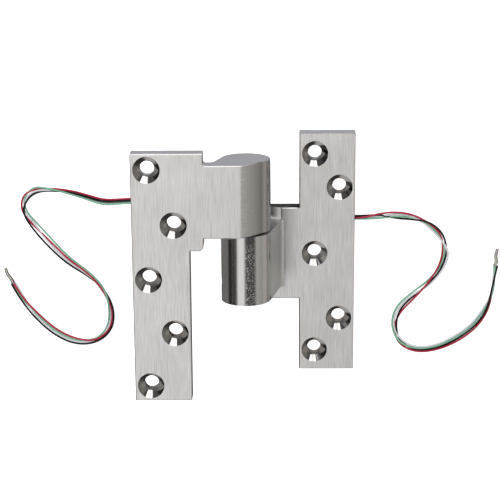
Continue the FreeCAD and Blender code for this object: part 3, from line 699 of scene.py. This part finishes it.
def make_world():
    """White to the camera, an even pale room to what isn't glossy, and to the metal the studio that the
    values above describe."""
    world = bpy.data.worlds.new("studio")
    world.use_nodes = True
    world.cycles.sampling_method = "NONE"
    tree = world.node_tree
    tree.nodes.clear()
    way = add(tree, "ShaderNodeTexCoord")
    parts = add(tree, "ShaderNodeSeparateXYZ", links={0: way.outputs["Generated"]})
    angle = add(tree, "ShaderNodeMath", {"operation": "ARCTAN2"}, {0: parts.outputs[0], 1: parts.outputs[2]})
    turn = add(tree, "ShaderNodeMath", {"operation": "MULTIPLY_ADD", 1: 0.5 / math.pi, 2: 0.5},
               {0: angle.outputs[0]})
    ramp = add(tree, "ShaderNodeValToRGB", links={0: turn.outputs[0]})
    while len(ramp.color_ramp.elements) < len(STUDIO):
        ramp.color_ramp.elements.new(0.5)
    for element, (degrees, level) in zip(ramp.color_ramp.elements, STUDIO):
        element.position = degrees / 360 + 0.5
        tint = WARMTH if degrees > WARM_SIDE else (1.0, 1.0, 1.0)
        element.color = [part * level for part in tint] + [1]

    aside = add(tree, "ShaderNodeMath", {"operation": "ABSOLUTE"}, {0: angle.outputs[0]})
    front = add(tree, "ShaderNodeMapRange", {"From Min": FRONT_SIDE[0], "From Max": FRONT_SIDE[1]},
                {"Value": aside.outputs[0]})
    height = add(tree, "ShaderNodeMath", {"operation": "ADD", 1: -FRONT_MIDDLE}, {0: parts.outputs[1]})
    off = add(tree, "ShaderNodeMath", {"operation": "ABSOLUTE"}, {0: height.outputs[0]})
    outside = add(tree, "ShaderNodeMapRange", {"From Min": FRONT_GAP[0], "From Max": FRONT_GAP[1]},
                  {"Value": off.outputs[0]})
    tall = add(tree, "ShaderNodeMath", {"operation": "MULTIPLY"}, {0: front.outputs[0], 1: outside.outputs[0]})
    below = add(tree, "ShaderNodeMapRange", {"From Min": LOW_HEIGHT[0], "From Max": LOW_HEIGHT[1]},
                {"Value": parts.outputs[1]})
    low_level = add(tree, "ShaderNodeMapRange", {"From Min": LOW_SPREAD[0], "From Max": LOW_SPREAD[1],
                                                 "To Min": LOW_LEFT, "To Max": LOW_RIGHT},
                    {"Value": parts.outputs[0]})
    level = add(tree, "ShaderNodeMix", {"data_type": "FLOAT", 2: FRONT_LIGHT},
                {0: below.outputs[0], 3: low_level.outputs[0]})
    boxes = add(tree, "ShaderNodeMix", {"data_type": "RGBA"},
                {0: tall.outputs[0], 6: ramp.outputs[0], 7: level.outputs[0]})

    high = add(tree, "ShaderNodeMapRange", {"From Min": HEADER_HEIGHT[0], "From Max": HEADER_HEIGHT[1]},
               {"Value": parts.outputs[1]})
    ahead = add(tree, "ShaderNodeMapRange", {"From Min": HEADER_SIDE[0], "From Max": HEADER_SIDE[1]},
                {"Value": aside.outputs[0]})
    hanging = add(tree, "ShaderNodeMath", {"operation": "MULTIPLY"}, {0: high.outputs[0], 1: ahead.outputs[0]})
    header = add(tree, "ShaderNodeMix", {"data_type": "RGBA", 7: (HEADER, HEADER, HEADER, 1)},
                 {0: hanging.outputs[0], 6: boxes.outputs[2]})
    lift = add(tree, "ShaderNodeMath", {"operation": "MULTIPLY_ADD", 1: BOX_LEAN},
               {0: parts.outputs[0], 2: parts.outputs[1]})
    above = add(tree, "ShaderNodeMapRange", {"From Min": BOX_HEIGHT[0], "From Max": BOX_HEIGHT[1]},
                {"Value": lift.outputs[0]})
    lamp = add(tree, "ShaderNodeMapRange", {"From Min": BOX_FAR[0], "From Max": BOX_FAR[1],
                                            "To Min": OVERHEAD, "To Max": OVERHEAD_EDGE},
               {"Value": lift.outputs[0]})
    box = add(tree, "ShaderNodeMix", {"data_type": "RGBA"},
              {0: above.outputs[0], 6: header.outputs[2], 7: lamp.outputs[0]})

    rays = add(tree, "ShaderNodeLightPath")
    shiny = add(tree, "ShaderNodeMath", {"operation": "MAXIMUM"},
                {0: rays.outputs["Is Glossy Ray"], 1: rays.outputs["Is Transmission Ray"]})
    room = add(tree, "ShaderNodeMix", {"data_type": "RGBA", 6: (ROOM_LIGHT, ROOM_LIGHT, ROOM_LIGHT, 1)},
               {0: shiny.outputs[0], 7: box.outputs[2]})
    seen = add(tree, "ShaderNodeMix", {"data_type": "RGBA", 7: (1, 1, 1, 1)},
               {0: rays.outputs["Is Camera Ray"], 6: room.outputs[2]})
    background = add(tree, "ShaderNodeBackground", links={"Color": seen.outputs[2]})
    add(tree, "ShaderNodeOutputWorld", links={"Surface": background.outputs[0]})
    bpy.context.scene.world = world


# Where the floor's tone in the metal changes: a painted shadow between the leaves, past the part's upper end and
# far to the right
BETWEEN_X = (36 * MM, 29 * MM)
TOP_Y = (50 * MM, 42 * MM)
FAR_X = (85 * MM, 110 * MM)
FLOOR_GLOW = 0.8
FLOOR_HALF = 4


def mirrored_tone(tree):
    """What the metal sees of the floor: grey, cooler past the part's upper end and lighter far to the right,
    and dark between the leaves: a painted shadow of the part."""
    place = add(tree, "ShaderNodeTexCoord")
    spot = add(tree, "ShaderNodeSeparateXYZ", links={0: place.outputs["Object"]})
    aside = add(tree, "ShaderNodeMath", {"operation": "ABSOLUTE"}, {0: spot.outputs[0]})
    between = add(tree, "ShaderNodeMapRange", {"From Min": BETWEEN_X[0], "From Max": BETWEEN_X[1]},
                  {"Value": aside.outputs[0]})
    below = add(tree, "ShaderNodeMapRange", {"From Min": TOP_Y[0], "From Max": TOP_Y[1]},
                {"Value": spot.outputs[1]})
    right = add(tree, "ShaderNodeMath", {"operation": "GREATER_THAN", 1: 0.0}, {0: spot.outputs[0]})
    beside = add(tree, "ShaderNodeMix", {"data_type": "RGBA", 6: linear("#807E7C"), 7: linear("#8E8983")},
                 {0: right.outputs[0]})
    far = add(tree, "ShaderNodeMapRange", {"From Min": FAR_X[0], "From Max": FAR_X[1]},
              {"Value": spot.outputs[0]})
    beyond = add(tree, "ShaderNodeMix", {"data_type": "RGBA", 7: linear("#BEB9B6")},
                 {0: far.outputs[0], 6: beside.outputs[2]})
    # A painted shadow: the floor between the leaves, dark in the metal
    near = add(tree, "ShaderNodeMix", {"data_type": "RGBA", 7: linear("#141414")},
               {0: between.outputs[0], 6: beyond.outputs[2]})
    return add(tree, "ShaderNodeMix", {"data_type": "RGBA", 6: linear("#B4B6BE")},
               {0: below.outputs[0], 7: near.outputs[2]})


def make_floor():
    """A pale matt floor that glows enough to show white to the camera, with the object's soft shadow."""
    material = bpy.data.materials.new("pale_floor")
    material.use_nodes = True
    material.cycles.emission_sampling = "NONE"
    tree = material.node_tree
    tree.nodes.clear()
    rays = add(tree, "ShaderNodeLightPath")
    lit = add(tree, "ShaderNodeBsdfDiffuse", {"Color": (0.8, 0.8, 0.8, 1)})
    glow = add(tree, "ShaderNodeEmission", {"Color": (1, 1, 1, 1), "Strength": FLOOR_GLOW})
    sum_of = add(tree, "ShaderNodeAddShader", links={0: lit.outputs[0], 1: glow.outputs[0]})
    mirrored = add(tree, "ShaderNodeEmission", {"Strength": 1.0}, {"Color": mirrored_tone(tree).outputs[2]})
    other = add(tree, "ShaderNodeMixShader",
                links={0: rays.outputs["Is Glossy Ray"], 1: lit.outputs[0], 2: mirrored.outputs[0]})
    seen = add(tree, "ShaderNodeMixShader",
               links={0: rays.outputs["Is Camera Ray"], 1: other.outputs[0], 2: sum_of.outputs[0]})
    add(tree, "ShaderNodeOutputMaterial", links={"Surface": seen.outputs[0]})
    mesh = bpy.data.meshes.new("floor")
    corners = [(FLOOR_HALF * x, FLOOR_HALF * y, 0) for x, y in ((-1, -1), (1, -1), (1, 1), (-1, 1))]
    mesh.from_pydata(corners, [], [(0, 1, 2, 3)])
    mesh.materials.append(material)
    floor = bpy.data.objects.new("floor", mesh)
    bpy.context.scene.collection.objects.link(floor)


def make_lamp(name, place, size, power):
    """A large soft lamp that faces the part and isn't mirrored in it."""
    light = bpy.data.lights.new(name, "AREA")
    light.shape = "DISK"
    light.size = size
    light.energy = power
    lamp = bpy.data.objects.new(name, light)
    lamp.location = place
    lamp.rotation_euler = (-Vector(place)).to_track_quat("-Z", "Y").to_euler()
    lamp.visible_glossy = False
    bpy.context.scene.collection.objects.link(lamp)


make_camera()

# Extruded vinyl: smooth and even in colour, with a soft light line along each wire. Black shines least.
SKINS = {
    "r": extruded_vinyl("red_vinyl_insulation", "#920F29", "#AE1B38", 0.4),
    "k": extruded_vinyl("black_vinyl_insulation", "#030304", "#09090B", 0.42, 0.2),
    "w": extruded_vinyl("white_vinyl_insulation", "#C4C4C9", "#D9D9DD", 0.35),
    "g": extruded_vinyl("green_vinyl_insulation", "#6B9C84", "#86B59C", 0.4),
}
# Tinned copper: warm grey, bright on the ridges of its twisted strands
TINNED = metal("tinned_copper_strands", "#77736D", "#DAD6D0", 0.28, 0.25 * MM)
make_lead("door", DOOR_ROUTE, DOOR_LAY, SKINS, TINNED)
make_lead("jamb", JAMB_ROUTE, JAMB_LAY, SKINS, TINNED)
make_inner("door", DOOR_INNER, SKINS)
make_inner("jamb", JAMB_INNER, SKINS)

STEEL = brushed_stainless("brushed_stainless_steel")
# Rolled sheet: flat grey with a blurred shine, duller than the leaves
SHEET = metal("rolled_stainless_sheet", "#A9A7A4", "#C6C4C0", 0.38, 0.5 * MM)
# Ground steel: nearly a mirror, cool grey
GROUND = metal("ground_pin_steel", "#9A9A9C", "#B9B9BA", 0.2, 0.3 * MM)
# Zinc plate: a bluish soft shine
SCREW = metal("zinc_plated_screw_steel", "#8E9093", "#B4B6B9", 0.3, 0.3 * MM)
# Sintered bronze soaked in oil: dark brown, with a dull wet gloss
BRONZE = metal("oiled_sintered_bronze", "#2A2018", "#40301F", 0.42, 0.2 * MM)
# Moulded rubber: matt black that hardly shines
RUBBER = extruded_vinyl("moulded_rubber", "#101010", "#1C1C1C", 0.6, 0.35)
FINISHES = (
    (STEEL, ("door_leaf", "jamb_leaf")),
    (GROUND, ("pivot_pin",)),
    (BRONZE, ("pin_bushing", "thrust_washer")),
    (SCREW, ("pin_set_screw", "door_cover_screws", "jamb_cover_screws")),
    (RUBBER, ("door_grommet", "jamb_grommet")),
    (SHEET, ("door_channel_cover", "jamb_channel_cover")),
)
for finish, nodes in FINISHES:
    for node in nodes:
        paint(node, finish)

make_world()
make_floor()
make_lamp("key", place=(-0.25, 0.55, 0.75), size=0.5, power=6.0)
bpy.context.scene.view_settings.view_transform = "Standard"
